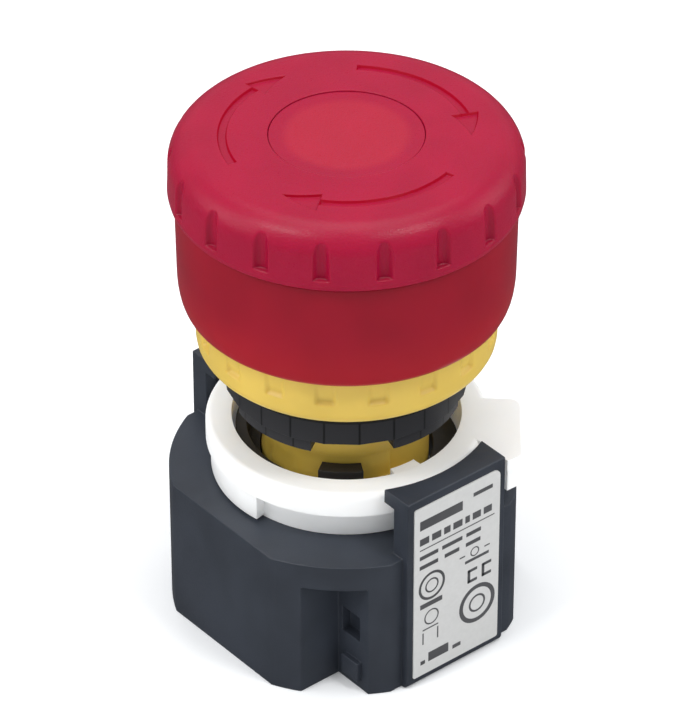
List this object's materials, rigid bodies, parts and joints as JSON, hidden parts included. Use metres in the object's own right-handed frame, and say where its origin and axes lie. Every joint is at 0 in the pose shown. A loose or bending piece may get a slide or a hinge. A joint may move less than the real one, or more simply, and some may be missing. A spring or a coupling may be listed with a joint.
{
  "type": "emergency stop button",
  "caption": "Red mushroom emergency stop button, push to lock and turn to reset, with a yellow bezel, panel lock nut and detachable round contact block held by a bayonet ring.",
  "frame": {"origin": "centre of the contact block's underside, on the push axis", "axes": "+Z along the push axis towards the operator; the name label faces -Y; -X is a plain flat of the contact block"},
  "size_m": [0.029, 0.029, 0.0461],
  "materials": {
    "red_cap": "fine textured satin",
    "red_lens": "translucent satin",
    "red_skirt": "smooth, slightly translucent",
    "yellow_plastic": "satin moulded",
    "white_plastic": "satin moulded",
    "black_plastic": "satin moulded",
    "housing_plastic": "satin moulded, slightly bluish",
    "black_rubber": "matt",
    "clear_plastic": "polished clear",
    "lamp_lens": "translucent",
    "board": "solder resist",
    "contact_metal": "silver plated",
    "spring_steel": "bright wire",
    "label": "printed foil"
  },
  "bodies": {
    "base": {"contact_housing": "housing_plastic", "terminal_base": "housing_plastic", "mounting_collar": "black_plastic", "bushing": "yellow_plastic", "panel_gasket": "black_rubber", "stem_seal": "black_rubber", "name_label": "label", "contact_terminal_1": "contact_metal", "contact_terminal_2": "contact_metal", "contact_terminal_3": "contact_metal", "contact_terminal_4": "contact_metal", "lamp_terminal_1": "contact_metal", "lamp_terminal_2": "contact_metal", "led_board": "board", "lamp_post": "white_plastic", "led_lamp": "lamp_lens"},
    "plunger": {"plunger_stem": "black_plastic", "stem_retaining_ring": "spring_steel", "reset_spring": "spring_steel", "return_spring": "spring_steel"},
    "head": {"button_cap": "red_cap", "cap_lens": "red_lens", "diffuser_disc": "white_plastic", "light_guide": "clear_plastic", "button_skirt": "red_skirt", "reset_sleeve": "white_plastic", "sleeve_clip": "spring_steel"},
    "latch_pin_1": {"latch_pin_1": "spring_steel"},
    "latch_pin_2": {"latch_pin_2": "spring_steel"},
    "carriage": {"contact_carriage": "white_plastic", "moving_contact_1": "contact_metal", "moving_contact_2": "contact_metal", "contact_spring_1": "spring_steel", "contact_spring_2": "spring_steel", "carriage_spring": "spring_steel"},
    "bayonet_ring": {"bayonet_ring": "white_plastic"},
    "lock_nut": {"lock_nut": "black_plastic"}
  },
  "joints": [
    {"name": "push", "type": "slide", "parent": "base", "child": "plunger", "axis": [0, 0, -1], "range_m": [0, 0.004], "stiffness_N_per_m": 2000, "springref_m": -0.002, "deforming": ["return_spring"]},
    {"name": "turn_to_reset", "type": "hinge", "parent": "plunger", "child": "head", "pos_m": [0, 0, 0.03], "axis": [0, 0, -1], "range_deg": [0, 30], "stiffness_Nm_per_rad": 0.05},
    {"name": "latch_slide_1", "type": "slide", "parent": "plunger", "child": "latch_pin_1", "axis": [0, 1, 0], "range_m": [0, 0.0006]},
    {"name": "latch_slide_2", "type": "slide", "parent": "plunger", "child": "latch_pin_2", "axis": [0, -1, 0], "range_m": [0, 0.0006]},
    {"name": "contact_travel", "type": "slide", "parent": "base", "child": "carriage", "axis": [0, 0, -1], "range_m": [0, 0.004], "deforming": ["carriage_spring"]},
    {"name": "ring_release", "type": "hinge", "parent": "base", "child": "bayonet_ring", "pos_m": [0, 0, 0.016], "axis": [0, 0, 1], "range_deg": [0, 28]},
    {"name": "nut_turn", "type": "hinge", "parent": "base", "child": "lock_nut", "pos_m": [0, 0, 0.023], "axis": [0, 0, 1], "continuous": true}
  ],
  "couplings": [
    {"joint": "contact_travel", "follows": "push", "ratio": 1},
    {"joint": "latch_slide_1", "follows": "push", "ratio": 0.15},
    {"joint": "latch_slide_2", "follows": "push", "ratio": 0.15}
  ]
}
